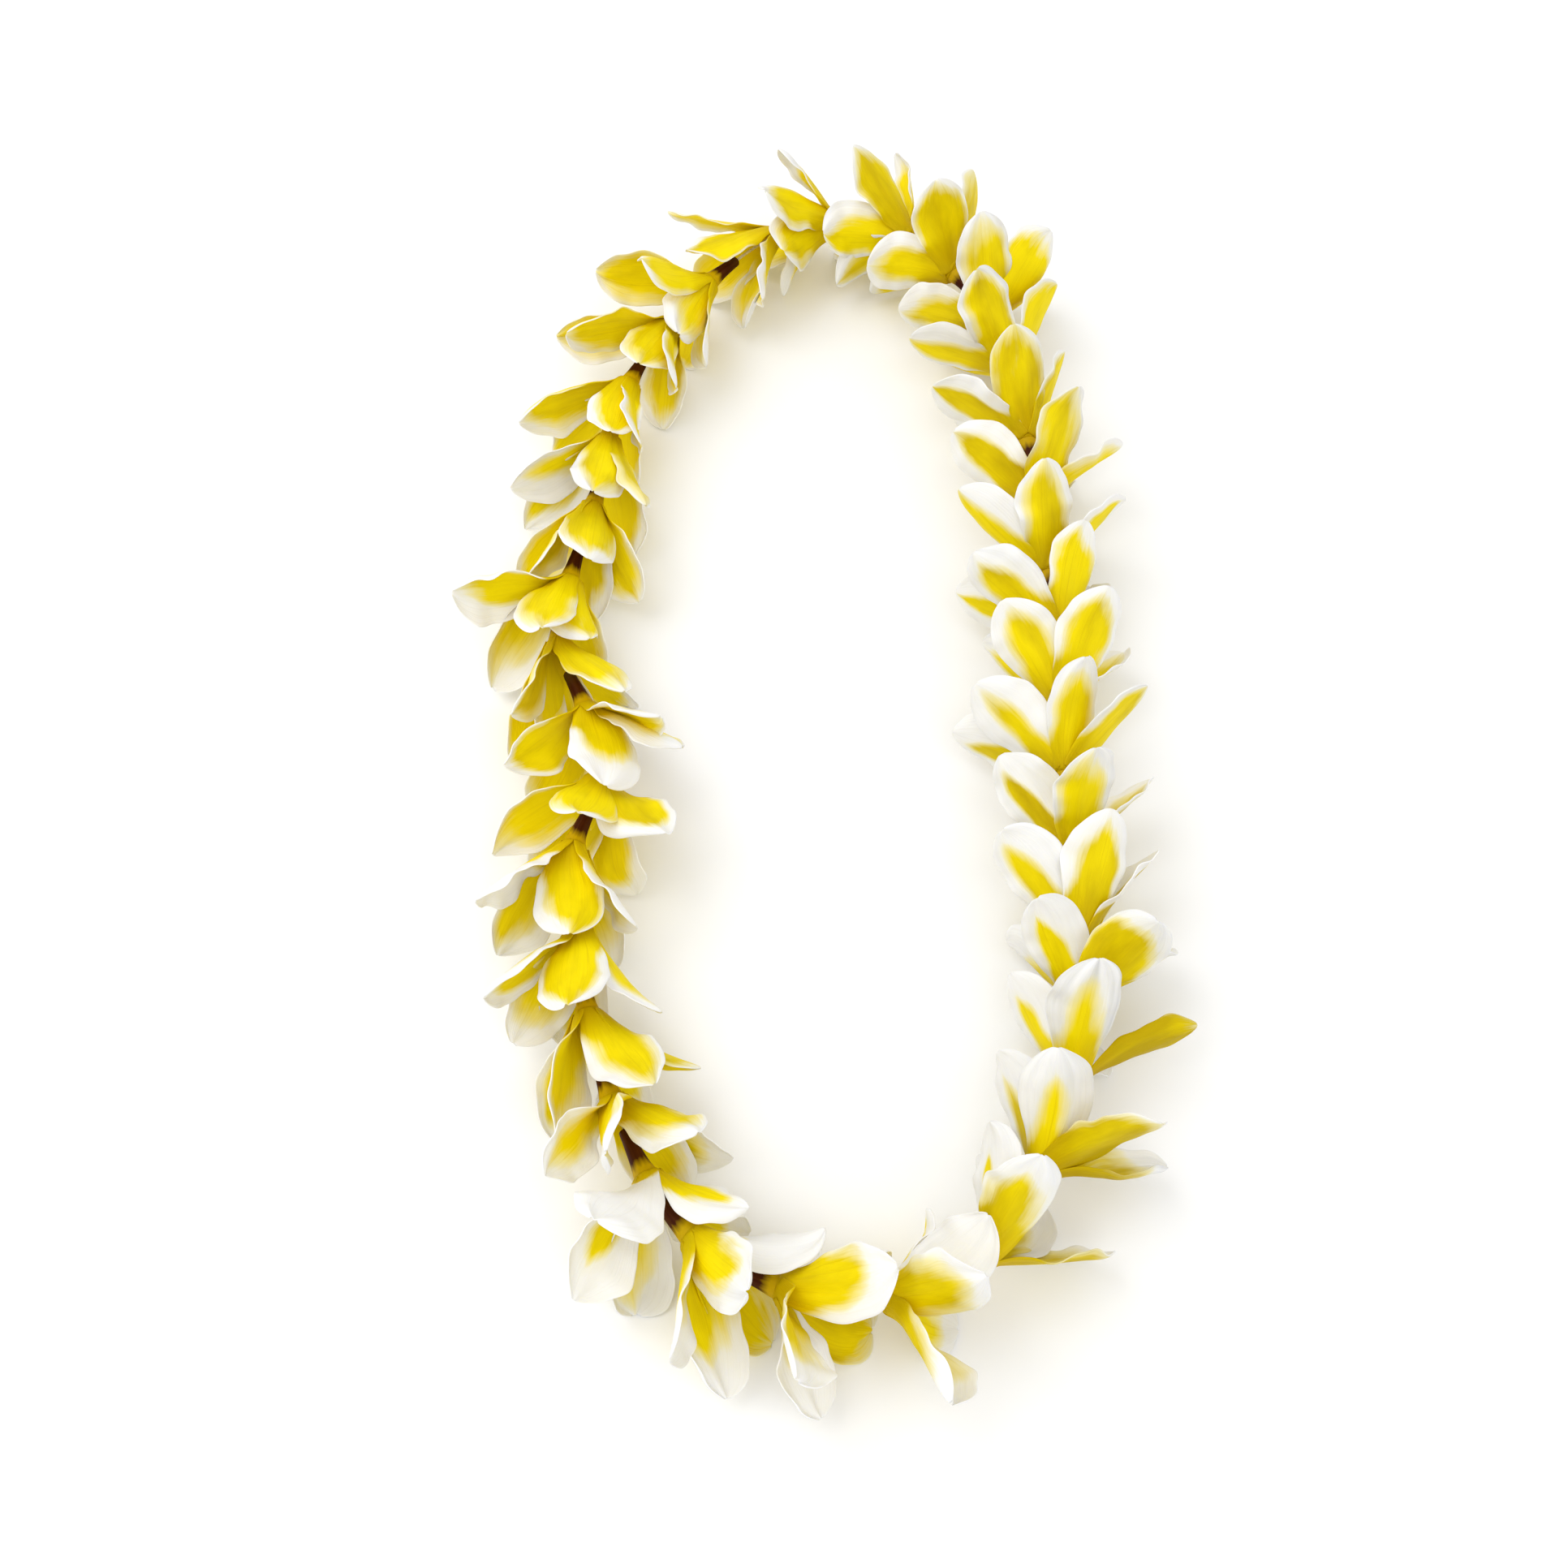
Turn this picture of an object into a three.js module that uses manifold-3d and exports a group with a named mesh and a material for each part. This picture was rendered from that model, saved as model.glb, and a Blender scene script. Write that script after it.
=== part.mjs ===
// Fresh flower lei: plumeria blooms threaded one into the next on a closed loop of string.
// Millimetres, +Z up. The lei lies on the plane z = 0, and +Y is its long direction.
import * as THREE from 'three';
import Module from 'manifold-3d';
import { mergeVertices } from 'three/addons/utils/BufferGeometryUtils.js';

const wasm = await Module();
wasm.setup();

// String: its height above the surface, its thickness, and the loop that it lies in.
const stringHeight = 25;
const stringRadius = 0.6;
const stringSides = 6;
const loopRoute = [
  [58, -157], [80, -125], [91, -85], [94, -40], [94, 10], [95, 60], [93, 105], [90, 150],
  [83, 195], [67, 233], [38, 257], [4, 257], [-25, 233], [-46, 202], [-62, 165], [-69, 118],
  [-76, 83], [-78, 55], [-67, 28], [-62, 0], [-69, -27], [-65, -55], [-60, -86], [-50, -115],
  [-32, -147], [-4, -166], [28, -170],
];
const routeSteps = 24; // steps along the smooth loop between two route points
const loopCentre = [6.6, 45.3]; // point of the route that the object's own middle stands over
const firstThroat = 1; // distance of the first bloom's throat from the start of the route

// Knot that closes the string, between the last bloom and the first one.
const knotRadius = 1.25;
const knotThread = 0.55;
const knotSteps = 18;
const knotSides = 5;
const knotTurns = [2, 3]; // times that the knot winds round its axis, and round its middle
const knotBehindTube = 5;
const tailLength = 6;
const tailRadius = 0.5;
const tailTaper = 0.8; // radius of a cut end, as a share of tailRadius
const tailLean = 62; // degrees from upright

// Tube of a bloom: [distance from the throat, radius] outside, then inside.
const tubeLength = 18;
const tubeSides = 6;
const tubeOutside = [[-tubeLength, 2.3], [-7, 3.1], [0, 5.0]];
const boreStart = 3; // depth of the throat's funnel, where the narrow bore starts
const tubeInside = [[0, 2.4], [-boreStart, 1.0], [-tubeLength, 1.0]];

// Petal: root sunk in the throat's wall, an egg-shaped blade widest past its middle, round tip.
const petalLength = 40;
const petalWidth = 21;
const petalThickness = 0.8;
const rootRadius = 3.6;
const rootSink = 3; // how far the root starts behind the throat
const rootAngle = 28; // degrees from the string, where the blade leaves the throat
const rootBend = 0.2; // share of the length over which the blade bends to its own angle
const recurve = 20; // degrees that the blade bends back from root to tip
const cup = 0.2; // rise of the edges towards the bloom's face, as a share of the half width
const pinwheel = -24; // degrees that the blade turns about its length
const lengthChange = 0.05; // most that a blade differs from the usual, as a share or in degrees
const bendChange = 9;
const widthChange = 0.05;
const cupChange = 0.4;
const rollChange = 5;
const flatLine = 0.3; // share of the cup's depth that lies behind the middle surface
const cupStart = 0.4; // share of the length over which the blade becomes cupped
const rollStart = 0.5; // share of the length over which the blade takes its roll
const spineSteps = 40;
const bladeOutline = [
  [0, 0.14], [0.16, 0.26], [0.3, 0.54], [0.45, 0.87], [0.58, 1.0], [0.68, 0.98],
  [0.78, 0.87], [0.86, 0.7], [0.93, 0.49], [0.975, 0.28], [1, 0.08],
];
const bladeRows = [0, 0.18, 0.42, 0.7];
const tipShoulder = 0.955; // where the last row of the blade stands at its two edges
const slopeStep = 0.01; // step in u and v over which a blade's slope is taken

// Surface that the lei lies on: blades bend to lie along it, and a few rest on small flat spots.
const bladeClearance = 0.9; // lowest height of the middle of a blade that doesn't rest
const restDip = 0.22; // height of the middle of a blade that rests, before its flat is cut
const bendSoftness = 2.2;
const sliver = 0.08; // narrower slivers, which joining leaves, are merged
const restingBlooms = [3, 8, 13, 19, 25, 30, 34];

// Blooms in order along the string, anticlockwise from the front right. gap is the distance in
// millimetres from this throat to the next. Each petal is [turn about the string, opening], in
// degrees: 90 points up, 0 outwards, 180 into the loop, and opening is measured from the string.
// Then come the roll about its own length in degrees, and shares of the usual length and width,
// where they differ from the usual.
const blooms = [
  { gap: 31, petals: [[90, 56], [-28, 50, 6], [-85, 36], [-140, 34], [172, 22]] },
  { gap: 32, petals: [[100, 51], [46, 66], [-14, 62], [-120, 40], [170, 27]] },
  { gap: 24.5, petals: [[89, 55], [-2, 56, 12], [-80, 50], [-128, 34], [176, 31]] },
  { gap: 23.5, petals: [[118, 50], [66, 72, 16], [-18, 50], [-78, 34], [-135, 38]] },
  { gap: 29.5, petals: [[140, 42], [72, 33, -6], [2, 38], [-66, 32], [-135, 34]] },
  { gap: 30.5, petals: [[85, 60], [145, 40], [0, 40], [-72, 32], [-140, 34]] },
  { gap: 28, petals: [[80, 37], [152, 54], [-168, 60], [32, 48], [-75, 32]] },
  { gap: 29.5, petals: [[130, 45], [62, 42, -6], [-30, 38], [-94, 50], [-160, 36]] },
  { gap: 25, petals: [[54, 27, 0], [146, 58], [-168, 52], [-40, 36], [-100, 32]] },
  { gap: 31.5, petals: [[92, 44], [152, 52, 2], [16, 46], [-52, 34], [-120, 34]] },
  { gap: 29, petals: [[64, 46], [152, 50], [0, 53], [-66, 34], [-130, 34]] },
  { gap: 35, petals: [[98, 50], [22, 27], [160, 58, 4], [-140, 38], [-62, 33]] },
  { gap: 24.5, petals: [[108, 58], [16, 40, 4], [168, 58, 6], [-72, 50], [-130, 36]] },
  { gap: 30, petals: [[84, 58, 8], [34, 68, 22], [-170, 37], [-26, 58], [-100, 34]] },
  { gap: 24.5, petals: [[92, 66, 25], [18, 61, 8], [163, 36], [-60, 34], [-130, 32]] },
  { gap: 32, petals: [[74, 48, 20, 0.96], [10, 66, -16, 1, 0.6], [150, 22, -10, 1.08],
    [-75, 34], [-152, 33]] },
  { gap: 26, petals: [[90, 36, 6, 1.08], [50, 60, -10, 0.86, 0.6], [150, 25], [-125, 30], [-60, 40]] },
  { gap: 36, petals: [[11, 51, 26, 1, 0.6], [50, 16, 26], [172, 34, 10], [-135, 28, 0], [-60, 42]] },
  { gap: 27, petals: [[69, 45, 40], [4, 57], [128, 14, 0], [-170, 24, 10], [-95, 50]] },
  { gap: 33.5, petals: [[32, 39, -18], [-6, 56], [115, 19, 0], [165, 26, 14], [-116, 38, 14, 1.06]] },
  { gap: 28, petals: [[-4, 58, -4], [-50, 60], [104, 12, 0, 0.95], [150, 17, 14], [-110, 32]] },
  { gap: 32, petals: [[96, 18, 0], [-8, 46, -20], [-38, 44, -24, 1.08],
    [156, 28, -2, 1, 0.8], [-130, 28, 10, 1.06]] },
  { gap: 33.5, petals: [[120, 24, 0], [22, 14, -8], [-36, 38],
    [-152, 38, 18], [-103, 27, 6, 1.02, 0.75]] },
  { gap: 27, petals: [[77, 28, 18], [14, 64, -22, 1.04], [-36, 46], [136, 17, -20], [-118, 30, 10]] },
  { gap: 29, petals: [[21, 37], [126, 23, -6], [-33, 47, -28, 1.12], [-62, 34, -20, 1.04], [-120, 58]] },
  { gap: 28, petals: [[112, 18, 0, 1, 1.1], [160, 48, -20], [130, 53, 6], [10, 46, -44], [-48, 48]] },
  { gap: 26.5, petals: [[100, 39, 0], [148, 54, -58, 1, 1.14], [-131, 36, 10, 1.08],
    [-72, 34], [-14, 41, -22]] },
  { gap: 31, petals: [[86, 12, 0, 1, 1.1], [28, 55, -8], [-22, 45, -26],
    [169, 22, 4], [-106, 26, 10, 1.06]] },
  { gap: 28.5, petals: [[80, 27, 8, 1, 1.1], [26, 52, -12], [-28, 42, -26],
    [168, 26, -8], [-75, 36, -10]] },
  { gap: 29.5, petals: [[124, 24, -30, 1, 1.05], [16, 24, -42, 1.05], [-170, 42, -20, 1.04],
    [-48, 44], [-104, 50]] },
  { gap: 26.5, petals: [[128, 40, -22], [72, 50, -50], [24, 56, -40, 0.85],
    [-158, 36, 4, 1.05], [-118, 26, 10]] },
  { gap: 22.5, petals: [[55, 74, 66, 0.95, 1.1], [-8, 70, -34, 0.95], [-48, 58, -24, 1.04],
    [150, 24, -30, 0.95, 0.8], [-130, 32]] },
  { gap: 30, petals: [[66, 49, -6], [28, 66, -14], [-24, 52, -30, 1.02],
    [-74, 40, -10], [162, 16, -36, 1.12]] },
  { gap: 30, petals: [[90, 32, -16], [44, 76, -36], [-30, 64, -30, 0.84], [-84, 46, -12], [-147, 20]] },
  { gap: 31.8, petals: [[70, 58, -20], [28, 80, -16], [102, 24, -10], [-70, 58, -30, 0.92], [-150, 34]] },
];

const petalColour = '#f1d838';
const stringColour = '#e9e4d2';

const radians = THREE.MathUtils.degToRad;

// Loop of the string as a closed polyline with the distance along it.
function smoothLoop() {
  const points = [];
  const count = loopRoute.length;
  const at = (i) => loopRoute[(i + count) % count];
  for (let i = 0; i < count; i++) {
    const [a, b, c, d] = [at(i - 1), at(i), at(i + 1), at(i + 2)];
    for (let k = 0; k < routeSteps; k++) {
      const t = k / routeSteps;
      const blend = (axis) => 0.5 * (2 * b[axis] + (c[axis] - a[axis]) * t
        + (2 * a[axis] - 5 * b[axis] + 4 * c[axis] - d[axis]) * t * t
        + (3 * b[axis] - a[axis] - 3 * c[axis] + d[axis]) * t * t * t);
      points.push([blend(0) - loopCentre[0], blend(1) - loopCentre[1]]);
    }
  }
  return points;
}

const loop = smoothLoop();
const loopDistance = [0];
loop.forEach((point, i) => {
  const next = loop[(i + 1) % loop.length];
  loopDistance.push(loopDistance[i] + Math.hypot(next[0] - point[0], next[1] - point[1]));
});
const loopLength = loopDistance[loop.length];

// Place and direction of the string at a distance along the loop.
function stringAt(distance) {
  const s = ((distance % loopLength) + loopLength) % loopLength;
  let low = 0;
  let high = loop.length - 1;
  while (low < high) {
    const middle = Math.ceil((low + high) / 2);
    if (loopDistance[middle] <= s) low = middle;
    else high = middle - 1;
  }
  const share = (s - loopDistance[low]) / (loopDistance[low + 1] - loopDistance[low]);
  const [a, b, c] = [0, 1, 2].map((k) => loop[(low + k) % loop.length]);
  const along = [0, 1].map((k) => (b[k] - a[k]) * (1 - share) + (c[k] - b[k]) * share);
  const size = Math.hypot(...along);
  return {
    x: a[0] * (1 - share) + b[0] * share,
    y: a[1] * (1 - share) + b[1] * share,
    tx: along[0] / size,
    ty: along[1] / size,
  };
}

// Point given by its distance along the string, and how far out of the loop and up it lies.
function besideString(distance, out, up) {
  const { x, y, tx, ty } = stringAt(distance);
  return new THREE.Vector3(x + out * ty, y - out * tx, stringHeight + up);
}

// Same small variation every time, between -1 and 1, for one bloom, petal and use.
function vary(bloom, petal, use) {
  const wave = Math.sin(bloom * 12.9898 + petal * 78.233 + use * 37.719) * 43758.5453;
  return 2 * (wave - Math.floor(wave)) - 1;
}

function outlineAt(u) {
  const i = bladeOutline.findIndex(([place]) => place >= u);
  if (i <= 0) return bladeOutline[0][1];
  const [[u0, w0], [u1, w1]] = [bladeOutline[i - 1], bladeOutline[i]];
  return w0 + (w1 - w0) * (u - u0) / (u1 - u0);
}

// Middle line of a blade in the plane through the string: [along, away, angle] at u from 0 to 1.
function bladeSpine(opening, length, bend) {
  const spine = [];
  let along = -rootSink;
  let away = rootRadius;
  for (let i = 0; i <= spineSteps; i++) {
    const u = i / spineSteps;
    const rooted = Math.max(0, 1 - u / rootBend) ** 2;
    const free = opening + bend * (u - 0.5);
    const angle = radians(free + (rootAngle - free) * rooted);
    spine.push([along, away, angle]);
    along += (length / spineSteps) * Math.cos(angle);
    away += (length / spineSteps) * Math.sin(angle);
  }
  return (u) => {
    const place = Math.min(Math.max(u, 0), 1) * spineSteps;
    const i = Math.min(Math.floor(place), spineSteps - 1);
    return spine[i].map((value, k) => value + (spine[i + 1][k] - value) * (place - i));
  };
}

// Surface through the middle of one blade, as a function of u (root to tip) and v (edge to edge).
function bladeSurface(throat, bloomNumber, petalNumber, lowest) {
  const [turn, opening, roll = pinwheel, long = 1, wide = 1] = blooms[bloomNumber - 1].petals[petalNumber];
  const change = (use) => vary(bloomNumber, petalNumber, use);
  const length = petalLength * long * (1 + lengthChange * change(1));
  const spine = bladeSpine(opening, length, recurve + bendChange * change(2));
  const halfWidth = petalWidth / 2 * wide * (1 + widthChange * change(3));
  const hollow = cup * (1 + cupChange * change(4));
  const twist = radians(roll + rollChange * change(5));
  const phi = radians(turn);
  return (u, v) => {
    const [along, away, angle] = spine(u);
    const half = halfWidth * outlineAt(u);
    const across = half * v;
    const rise = hollow * half * (v * v - flatLine) * Math.min(1, u / cupStart);
    const tilt = twist * Math.min(1, u / rollStart);
    const side = across * Math.cos(tilt) - rise * Math.sin(tilt);
    const face = across * Math.sin(tilt) + rise * Math.cos(tilt);
    const reach = away - face * Math.cos(angle);
    const out = reach * Math.cos(phi) - side * Math.sin(phi);
    const up = reach * Math.sin(phi) + side * Math.cos(phi);
    const point = besideString(throat + along + face * Math.sin(angle), out, up);
    point.z = lowest + bendSoftness * Math.log1p(Math.exp((point.z - lowest) / bendSoftness));
    return point;
  };
}

function solidOf(positions, triangles) {
  const solid = new wasm.Manifold(new wasm.Mesh({
    numProp: 3,
    vertProperties: new Float32Array(positions),
    triVerts: new Uint32Array(triangles),
  }));
  return solid;
}

function solidOfGeometry(geometry) {
  geometry.deleteAttribute('normal');
  geometry.deleteAttribute('uv');
  const merged = mergeVertices(geometry, 1e-4);
  return solidOf(merged.attributes.position.array, merged.index.array);
}

// Closed thin blade: the same grid of triangles on both faces, and a rim round its outline.
function bladeSolid(surface) {
  const columns = [-1, 0, 1];
  const rows = bladeRows.map((u) => columns.map((v) => [u, v]));
  rows.push([[tipShoulder, -1], [1, 0], [tipShoulder, 1]]);
  const front = [];
  const back = [];
  for (const [u, v] of rows.flat()) {
    const low = Math.min(u, 1 - slopeStep);
    const along = surface(low + slopeStep, v).sub(surface(low, v));
    const across = surface(low, v + slopeStep).sub(surface(low, v - slopeStep));
    const normal = along.cross(across).normalize().multiplyScalar(petalThickness / 2);
    const middle = surface(u, v);
    front.push(...middle.clone().add(normal).toArray());
    back.push(...middle.clone().sub(normal).toArray());
  }
  const width = columns.length;
  const backStart = rows.length * width;
  const triangles = [];
  const face = (a, b, c) => {
    triangles.push(a, b, c, a + backStart, c + backStart, b + backStart);
  };
  for (let row = 0; row < rows.length - 1; row++) {
    for (let column = 0; column < width - 1; column++) {
      const a = row * width + column;
      const [b, c, d] = [a + width, a + width + 1, a + 1];
      if (column === 0) {
        face(a, b, d);
        face(b, c, d);
      } else {
        face(a, b, c);
        face(a, c, d);
      }
    }
  }
  const last = rows.length - 1;
  const rim = [
    ...columns.map((_, column) => column),
    ...rows.slice(1).map((_, row) => (row + 1) * width + width - 1),
    ...columns.slice(0, -1).map((_, column) => last * width + width - 2 - column),
    ...rows.slice(1, -1).map((_, row) => (last - 1 - row) * width),
  ];
  rim.forEach((a, i) => {
    const b = rim[(i + 1) % rim.length];
    triangles.push(a, b, b + backStart, a, b + backStart, a + backStart);
  });
  return solidOf([...front, ...back], triangles);
}

// Tapered tube with a bore for the string and a funnel at its throat, bent along the string.
function tubeSolid(throat) {
  const profile = [...tubeOutside, ...tubeInside].map(([along, radius]) => [radius, along]);
  profile.push(profile[0]);
  const points = profile.map(([radius, along]) => new THREE.Vector2(radius, along));
  const geometry = new THREE.LatheGeometry(points, tubeSides);
  const position = geometry.attributes.position;
  for (let i = 0; i < position.count; i++) {
    const [out, along, up] = [position.getX(i), position.getY(i), position.getZ(i)];
    position.setXYZ(i, ...besideString(throat + along, out, up).toArray());
  }
  return solidOfGeometry(geometry);
}

// Outer body of a join, without a hollow that it seals or a loose scrap.
function largestPiece(solid) {
  return solid.decompose().sort((a, b) => b.volume() - a.volume())[0];
}

function bloomSolid(throat, bloomNumber) {
  const rests = restingBlooms.includes(bloomNumber);
  const lowest = rests ? restDip : bladeClearance;
  let bloom = tubeSolid(throat);
  for (let petal = 0; petal < blooms[bloomNumber - 1].petals.length; petal++) {
    bloom = bloom.add(bladeSolid(bladeSurface(throat, bloomNumber, petal, lowest)));
  }
  const smooth = largestPiece(bloom.asOriginal().simplify(sliver));
  return rests ? smooth.trimByPlane([0, 0, 1], 0) : smooth;
}

// String through every bloom, straight inside each bore and bending between them.
function stringSolid(throats) {
  const stations = throats.flatMap((throat) => [throat - tubeLength, throat - boreStart]);
  const positions = [];
  for (const station of stations) {
    for (let side = 0; side < stringSides; side++) {
      const angle = 2 * Math.PI * side / stringSides;
      const [out, up] = [stringRadius * Math.cos(angle), stringRadius * Math.sin(angle)];
      positions.push(...besideString(station, out, up).toArray());
    }
  }
  const triangles = [];
  for (let station = 0; station < stations.length; station++) {
    const next = (station + 1) % stations.length;
    for (let side = 0; side < stringSides; side++) {
      const [a, b] = [station, next].map((ring) => ring * stringSides + side);
      const turned = (side + 1) % stringSides;
      const [c, d] = [next, station].map((ring) => ring * stringSides + turned);
      triangles.push(a, b, c, a, c, d);
    }
  }
  return solidOf(positions, triangles);
}

// Knot with two cut ends, at a distance along the string.
function knotSolid(distance) {
  const { tx, ty } = stringAt(distance);
  const middle = besideString(distance, 0, 0);
  const knot = new THREE.TorusKnotGeometry(knotRadius, knotThread, knotSteps, knotSides, ...knotTurns);
  knot.rotateY(Math.PI / 2);
  knot.rotateZ(Math.atan2(ty, tx));
  knot.translate(middle.x, middle.y, middle.z);
  let solid = solidOfGeometry(knot);
  for (const side of [-1, 1]) {
    const tail = new THREE.CylinderGeometry(tailRadius * tailTaper, tailRadius, tailLength, knotSides);
    tail.translate(0, tailLength / 2, 0);
    tail.rotateX(side * radians(tailLean));
    tail.rotateZ(Math.atan2(ty, tx) + Math.PI / 2);
    tail.translate(middle.x, middle.y, middle.z);
    solid = solid.add(solidOfGeometry(tail));
  }
  return solid;
}

function meshOf(solid, name, material) {
  const { vertProperties, triVerts } = solid.getMesh();
  const geometry = new THREE.BufferGeometry();
  geometry.setAttribute('position', new THREE.BufferAttribute(vertProperties, 3));
  geometry.setIndex(new THREE.BufferAttribute(triVerts, 1));
  geometry.computeVertexNormals();
  const mesh = new THREE.Mesh(geometry, material);
  mesh.name = name;
  return mesh;
}

const lei = new THREE.Group();
lei.name = 'fresh_flower_lei';

const stretch = loopLength / blooms.reduce((sum, bloom) => sum + bloom.gap, 0);
const throats = [];
let distance = firstThroat;
for (const { gap } of blooms) {
  throats.push(distance);
  distance += gap * stretch;
}

throats.forEach((throat, i) => {
  const material = new THREE.MeshStandardMaterial({ color: petalColour, roughness: 0.6, metalness: 0 });
  const name = `bloom_${String(i + 1).padStart(2, '0')}`;
  lei.add(meshOf(bloomSolid(throat, i + 1), name, material));
});

const knotPlace = throats[0] - tubeLength - knotBehindTube;
const string = stringSolid(throats).add(knotSolid(knotPlace));
lei.add(meshOf(string, 'string', new THREE.MeshStandardMaterial({
  color: stringColour, roughness: 0.9, metalness: 0,
})));

export default lei;
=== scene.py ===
import math

import bpy
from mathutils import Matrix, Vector


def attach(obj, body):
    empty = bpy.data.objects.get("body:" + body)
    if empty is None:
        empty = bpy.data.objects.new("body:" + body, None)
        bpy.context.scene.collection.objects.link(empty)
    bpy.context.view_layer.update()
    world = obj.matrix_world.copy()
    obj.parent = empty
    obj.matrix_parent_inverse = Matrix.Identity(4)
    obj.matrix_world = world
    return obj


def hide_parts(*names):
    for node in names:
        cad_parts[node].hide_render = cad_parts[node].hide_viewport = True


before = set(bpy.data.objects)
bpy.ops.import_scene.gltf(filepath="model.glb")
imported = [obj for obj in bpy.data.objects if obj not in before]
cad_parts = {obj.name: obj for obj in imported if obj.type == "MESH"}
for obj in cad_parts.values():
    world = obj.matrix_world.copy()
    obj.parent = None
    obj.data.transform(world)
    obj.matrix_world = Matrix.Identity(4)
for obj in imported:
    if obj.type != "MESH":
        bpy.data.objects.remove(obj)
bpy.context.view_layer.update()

mm = 0.001
fullTurn = 2 * math.pi

# the string's loop, as in the part: a route given in millimetres, anticlockwise seen from above
loop = {
    "height": 25,
    "route": [
        (58, -157), (80, -125), (91, -85), (94, -40), (94, 10), (95, 60), (93, 105), (90, 150),
        (83, 195), (67, 233), (38, 257), (4, 257), (-25, 233), (-46, 202), (-62, 165), (-69, 118),
        (-76, 83), (-78, 55), (-67, 28), (-62, 0), (-69, -27), (-65, -55), (-60, -86), (-50, -115),
        (-32, -147), (-4, -166), (28, -170),
    ],
    "steps": 24,             # points between two route points
    "centre": (6.6, 45.3),   # place on the route's drawing that is the middle of the lei
    "firstThroat": 1,        # from the start of the route to the throat of the first bloom
}


def addObject(name, data):
    item = bpy.data.objects.new(name, data)
    bpy.context.scene.collection.objects.link(item)
    return item


# camera and light

cameraForm = {
    "pixels": 1932, "focalPixels": 2300, "sensor": 36, "farthest": 50,
    "elevation": 60, "distance": 620,
}


# looks at the zero point of the route's drawing, at the height of the string
def makeCamera():
    data = bpy.data.cameras.new("camera")
    data.sensor_width = cameraForm["sensor"]
    data.lens = cameraForm["sensor"] * cameraForm["focalPixels"] / cameraForm["pixels"]
    data.clip_end = cameraForm["farthest"]
    camera = addObject("camera", data)
    lean = math.radians(cameraForm["elevation"])
    aim = Vector((-loop["centre"][0], -loop["centre"][1], loop["height"])) * mm
    back = Vector((0, -math.cos(lean), math.sin(lean))) * cameraForm["distance"] * mm
    camera.location = aim + back
    camera.rotation_euler = (math.pi / 2 - lean, 0, 0)
    bpy.context.scene.camera = camera


lightForm = {
    "sky": 0.83,
    "lamps": [  # place, size and power
        ((-0.9, 0.15, 1.5), 1.6, 11.5),
        ((0.4, -0.9, 1.5), 1.4, 5),
    ],
}


def makeLights():
    world = bpy.data.worlds.new("studio")
    world.use_nodes = True
    sky = world.node_tree.nodes["Background"]
    sky.inputs["Color"].default_value = (1, 1, 1, 1)
    sky.inputs["Strength"].default_value = lightForm["sky"]
    bpy.context.scene.world = world
    for number, (place, size, power) in enumerate(lightForm["lamps"], 1):
        data = bpy.data.lights.new(f"softbox_{number}", "AREA")
        data.shape = "DISK"
        data.size = size
        data.energy = power
        lamp = addObject(data.name, data)
        lamp.location = place
        lamp.rotation_euler = (-Vector(place)).to_track_quat("-Z", "Y").to_euler()


bpy.context.scene.view_settings.view_transform = "Standard"
makeCamera()
makeLights()
print("camera and lights are up")


# node parts: each value is a number or a tuple that is set, or a socket that is linked

def feed(tree, socket, value):
    if isinstance(value, (int, float, tuple)):
        socket.default_value = value
    else:
        tree.links.new(value, socket)


def mathNode(tree, operation, *values, clamp=False):
    node = tree.nodes.new("ShaderNodeMath")
    node.operation = operation
    node.use_clamp = clamp
    for socket, value in zip(node.inputs, values):
        feed(tree, socket, value)
    return node.outputs[0]


# a share that runs evenly with a value, held between 0 and 1
def slopeNode(tree, value, slope, start):
    return mathNode(tree, "MULTIPLY_ADD", value, slope, start, clamp=True)


# a share from 0 to 1 as a push of that amount, half of it either way
def pushNode(tree, share, amount):
    return mathNode(tree, "MULTIPLY_ADD", share, amount, -amount / 2)


def splitNode(tree, vector):
    node = tree.nodes.new("ShaderNodeSeparateXYZ")
    tree.links.new(vector, node.inputs[0])
    return node.outputs


def joinNode(tree, *values):
    node = tree.nodes.new("ShaderNodeCombineXYZ")
    for socket, value in zip(node.inputs, values):
        feed(tree, socket, value)
    return node.outputs[0]


def vectorNode(tree, operation, *values):
    node = tree.nodes.new("ShaderNodeVectorMath")
    node.operation = operation
    for socket, value in zip(node.inputs, values):
        feed(tree, socket, value)
    return node.outputs[0]


def scaledVector(tree, vector, amount):
    node = tree.nodes.new("ShaderNodeVectorMath")
    node.operation = "SCALE"
    tree.links.new(vector, node.inputs[0])
    tree.links.new(amount, node.inputs["Scale"])
    return node.outputs[0]


def mixColour(tree, share, first, second):
    node = tree.nodes.new("ShaderNodeMix")
    node.data_type = "RGBA"
    sockets = [s for s in node.inputs if s.type == "RGBA"]
    tree.links.new(share, node.inputs["Factor"])
    for socket, value in zip(sockets, (first, second)):
        feed(tree, socket, (*value, 1) if isinstance(value, tuple) else value)
    return next(s for s in node.outputs if s.type == "RGBA")


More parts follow.
